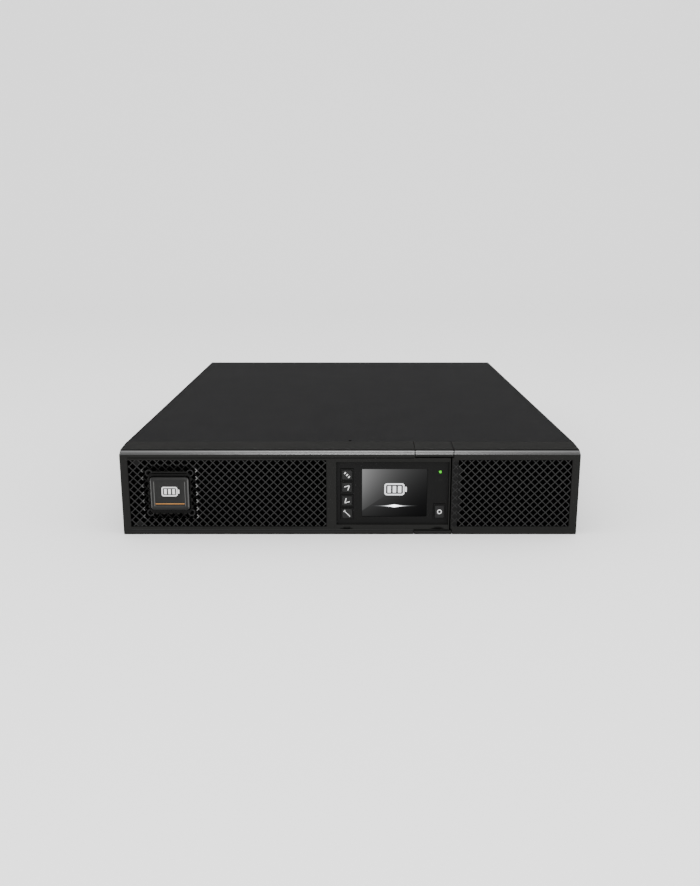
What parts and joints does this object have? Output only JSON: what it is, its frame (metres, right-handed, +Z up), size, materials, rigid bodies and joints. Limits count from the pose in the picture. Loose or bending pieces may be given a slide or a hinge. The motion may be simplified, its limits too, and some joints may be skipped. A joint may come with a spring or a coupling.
{
  "type": "uninterruptible power supply",
  "caption": "Rack or tower uninterruptible power supply with lattice front, display, pull-off front cover, slide-out battery drawer, rear fans and outlets.",
  "frame": {"origin": "on the floor, under the middle of the object's bounding box", "axes": "+Z up, front face towards -Y, +X to the right of someone who faces the front"},
  "size_m": [0.4328, 0.56, 0.085],
  "materials": {
    "charcoal_steel": "fine textured powder coat",
    "zinc_steel": "zinc plated",
    "black_plastic": "fine spark-eroded grain",
    "badge_plastic": "satin",
    "soft_black": "matte",
    "window_glass": "polished acrylic",
    "green_lamp": "lit",
    "battery_grey": "moulded",
    "aluminium": "black anodised",
    "wound_copper": "enamelled wire",
    "iron_core": "laminated",
    "capacitor_sleeve": "shrink sleeve",
    "guard_wire": "plated wire",
    "white_plastic": "moulded",
    "board_green": "solder mask"
  },
  "bodies": {
    "chassis": {"chassis_pan": "charcoal_steel", "top_cover": "charcoal_steel", "rear_panel": "charcoal_steel", "socket_panel": "charcoal_steel", "slot_cover": "charcoal_steel", "front_wall": "zinc_steel", "bay_divider": "zinc_steel", "bay_rear_wall": "zinc_steel", "serial_port": "zinc_steel", "usb_port": "zinc_steel", "right_bezel": "black_plastic", "right_grille": "black_plastic", "battery_socket": "soft_black", "fan_frame_1": "soft_black", "fan_frame_2": "soft_black", "mains_inlet": "soft_black", "breaker_body": "soft_black", "large_outlet": "soft_black", "outlet_block_lower": "soft_black", "outlet_block_upper": "soft_black", "battery_connector": "soft_black", "heat_sink_1": "aluminium", "heat_sink_2": "aluminium", "boost_choke": "wound_copper", "output_choke": "wound_copper", "transformer": "iron_core", "bulk_capacitor_1": "capacitor_sleeve", "bulk_capacitor_2": "capacitor_sleeve", "fan_guard_1": "guard_wire", "fan_guard_2": "guard_wire", "main_board": "board_green"},
    "front_cover": {"left_bezel": "black_plastic", "left_grille": "black_plastic", "badge_tray": "black_plastic", "display_panel": "black_plastic", "display_window": "window_glass", "lcd_module": "soft_black", "display_board": "board_green", "led_lens": "green_lamp"},
    "escape_key": {"escape_key": "soft_black"},
    "up_key": {"up_key": "soft_black"},
    "down_key": {"down_key": "soft_black"},
    "enter_key": {"enter_key": "soft_black"},
    "power_button": {"power_button": "soft_black"},
    "badge": {"badge_plate": "badge_plastic"},
    "upper_tab": {"upper_release_tab": "black_plastic"},
    "lower_tab": {"lower_release_tab": "black_plastic"},
    "battery": {"battery_tray": "zinc_steel", "battery_faceplate": "zinc_steel", "battery_handle": "soft_black", "battery_plug": "soft_black", "battery_block_1": "battery_grey", "battery_block_2": "battery_grey", "battery_block_3": "battery_grey", "battery_block_4": "battery_grey", "battery_block_5": "battery_grey", "battery_block_6": "battery_grey"},
    "fan_spin_1": {"fan_rotor_1": "soft_black"},
    "fan_spin_2": {"fan_rotor_2": "soft_black"},
    "breaker_reset": {"breaker_button": "white_plastic"}
  },
  "joints": [
    {"name": "battery_slide", "type": "slide", "parent": "chassis", "child": "battery", "axis": [0, -1, 0], "range_m": [0, 0.4]},
    {"name": "front_cover_pull", "type": "slide", "parent": "chassis", "child": "front_cover", "axis": [0, -1, 0], "range_m": [0, 0.5]},
    {"name": "escape_press", "type": "slide", "parent": "front_cover", "child": "escape_key", "axis": [0, 1, 0], "range_m": [0, 0.0012], "stiffness_N_per_m": 400, "springref_m": -0.0003},
    {"name": "up_press", "type": "slide", "parent": "front_cover", "child": "up_key", "axis": [0, 1, 0], "range_m": [0, 0.0012], "stiffness_N_per_m": 400, "springref_m": -0.0003},
    {"name": "down_press", "type": "slide", "parent": "front_cover", "child": "down_key", "axis": [0, 1, 0], "range_m": [0, 0.0012], "stiffness_N_per_m": 400, "springref_m": -0.0003},
    {"name": "enter_press", "type": "slide", "parent": "front_cover", "child": "enter_key", "axis": [0, 1, 0], "range_m": [0, 0.0012], "stiffness_N_per_m": 400, "springref_m": -0.0003},
    {"name": "power_press", "type": "slide", "parent": "front_cover", "child": "power_button", "axis": [0, 1, 0], "range_m": [0, 0.0012], "stiffness_N_per_m": 400, "springref_m": -0.0003},
    {"name": "upper_tab_press", "type": "slide", "parent": "front_cover", "child": "upper_tab", "axis": [0, 0, -1], "range_m": [0, 0.001], "stiffness_N_per_m": 800, "springref_m": -0.0005},
    {"name": "lower_tab_press", "type": "slide", "parent": "front_cover", "child": "lower_tab", "axis": [0, 0, 1], "range_m": [0, 0.001], "stiffness_N_per_m": 800, "springref_m": -0.0002},
    {"name": "badge_turn", "type": "hinge", "parent": "front_cover", "child": "badge", "pos_m": [-0.1709, -0.28, 0.0402], "axis": [0, -1, 0], "range_deg": [0, 90]},
    {"name": "fan_1_spin", "type": "hinge", "parent": "chassis", "child": "fan_spin_1", "pos_m": [0.0885, 0.2705, 0.0422], "axis": [0, 1, 0], "continuous": true},
    {"name": "fan_2_spin", "type": "hinge", "parent": "chassis", "child": "fan_spin_2", "pos_m": [0.1705, 0.2705, 0.0422], "axis": [0, 1, 0], "continuous": true},
    {"name": "breaker_trip", "type": "slide", "parent": "chassis", "child": "breaker_reset", "axis": [0, 1, 0], "range_m": [0, 0.004]}
  ],
  "couplings": [
    {"joint": "front_cover_pull", "follows": "battery_slide", "ratio": 1.25}
  ]
}
